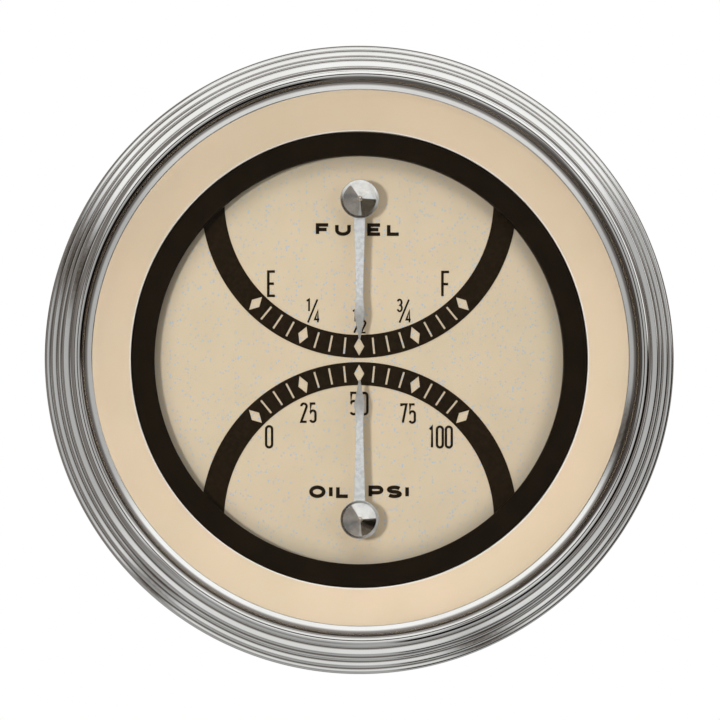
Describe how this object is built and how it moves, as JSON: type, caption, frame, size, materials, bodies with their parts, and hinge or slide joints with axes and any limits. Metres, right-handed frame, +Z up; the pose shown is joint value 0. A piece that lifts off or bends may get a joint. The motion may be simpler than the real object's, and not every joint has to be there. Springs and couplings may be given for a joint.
{
  "type": "dual fuel and oil gauge",
  "caption": "Round dashboard gauge with a stepped polished bezel, cream dial, fuel and oil pressure pointers, steel case and rear clamp.",
  "frame": {"origin": "on the dial's axis, in the plane where the bezel's rolled rear edge rests on the panel", "axes": "-Y out of the dial towards the driver, +Y along the case to the rear, +Z up the dial, +X to the reader's right"},
  "size_m": [0.0922, 0.073, 0.0922],
  "materials": {
    "case_steel": "zinc plated drawn steel, satin",
    "bezel_steel": "polished stainless steel with fine spinning lines",
    "lens_glass": "clear flat glass",
    "gasket_rubber": "matt black rubber",
    "dial_cream": "cream enamel with a fine speckle",
    "chapter_black": "satin brown-black enamel",
    "scale_black": "screen printed brown-black ink",
    "pointer_silver": "satin silver",
    "hub_polished": "turned and polished",
    "plated_steel": "bright zinc plate",
    "brass": "plain brass",
    "fibre": "red-brown insulating fibre",
    "board": "green glass-epoxy board",
    "resistor_body": "lacquered ceramic",
    "bulb_glass": "clear blown glass in a brass cap",
    "bobbin_plastic": "natural nylon",
    "magnet_iron": "sintered ferrite",
    "copper_wire": "enamelled copper wire"
  },
  "bodies": {
    "housing": {"case_shell": "case_steel", "bezel": "bezel_steel", "lens": "lens_glass", "lens_gasket": "gasket_rubber", "dial_ring": "dial_cream", "chapter_ring": "chapter_black", "dial_plate": "dial_cream", "fuel_scale": "scale_black", "oil_scale": "scale_black", "dial_spacers": "plated_steel", "dial_screws": "plated_steel", "chassis_plate": "case_steel", "chassis_screws": "plated_steel", "stop_pins": "brass", "mounting_studs": "plated_steel", "stud_nuts": "plated_steel", "circuit_board": "board", "resistors": "resistor_body", "terminal_studs": "brass", "terminal_insulators": "fibre", "terminal_washers": "plated_steel", "terminal_nuts": "brass", "fuel_bobbin_front": "bobbin_plastic", "fuel_bobbin_rear": "bobbin_plastic", "fuel_inner_coil": "copper_wire", "fuel_outer_coil": "copper_wire", "fuel_shield_can": "case_steel", "fuel_coil_pins": "brass", "oil_bobbin_front": "bobbin_plastic", "oil_bobbin_rear": "bobbin_plastic", "oil_inner_coil": "copper_wire", "oil_outer_coil": "copper_wire", "oil_shield_can": "case_steel", "oil_coil_pins": "brass"},
    "fuel_needle": {"fuel_pointer": "pointer_silver", "fuel_hub_cap": "hub_polished", "fuel_spindle": "plated_steel", "fuel_magnet": "magnet_iron", "fuel_stop_arm": "brass"},
    "oil_needle": {"oil_pointer": "pointer_silver", "oil_hub_cap": "hub_polished", "oil_spindle": "plated_steel", "oil_magnet": "magnet_iron", "oil_stop_arm": "brass"},
    "clamp": {"clamp_strap": "plated_steel", "clamp_washers": "plated_steel"},
    "nut_left": {"thumb_nut_left": "brass"},
    "nut_right": {"thumb_nut_right": "brass"},
    "lamp_upper": {"lamp_socket_upper": "plated_steel", "lamp_contact_upper": "fibre", "lamp_bulb_upper": "bulb_glass"},
    "lamp_lower": {"lamp_socket_lower": "plated_steel", "lamp_contact_lower": "fibre", "lamp_bulb_lower": "bulb_glass"}
  },
  "joints": [
    {"name": "fuel_swing", "type": "hinge", "parent": "housing", "child": "fuel_needle", "pos_m": [0, 0, 0.0235], "axis": [0, -1, 0], "range_deg": [-48, 48]},
    {"name": "oil_swing", "type": "hinge", "parent": "housing", "child": "oil_needle", "pos_m": [0, 0, -0.0235], "axis": [0, 1, 0], "range_deg": [-48, 48]},
    {"name": "clamp_slide", "type": "slide", "parent": "housing", "child": "clamp", "axis": [0, 1, 0], "range_m": [-0.0025, 0.0105]},
    {"name": "nut_left_turn", "type": "hinge", "parent": "clamp", "child": "nut_left", "pos_m": [-0.016, 0.05, 0], "axis": [0, 1, 0], "continuous": true},
    {"name": "nut_right_turn", "type": "hinge", "parent": "clamp", "child": "nut_right", "pos_m": [0.016, 0.05, 0], "axis": [0, 1, 0], "continuous": true},
    {"name": "lamp_upper_pull", "type": "slide", "parent": "housing", "child": "lamp_upper", "axis": [0, 1, 0], "range_m": [0, 0.024]},
    {"name": "lamp_lower_pull", "type": "slide", "parent": "housing", "child": "lamp_lower", "axis": [0, 1, 0], "range_m": [0, 0.024]}
  ]
}
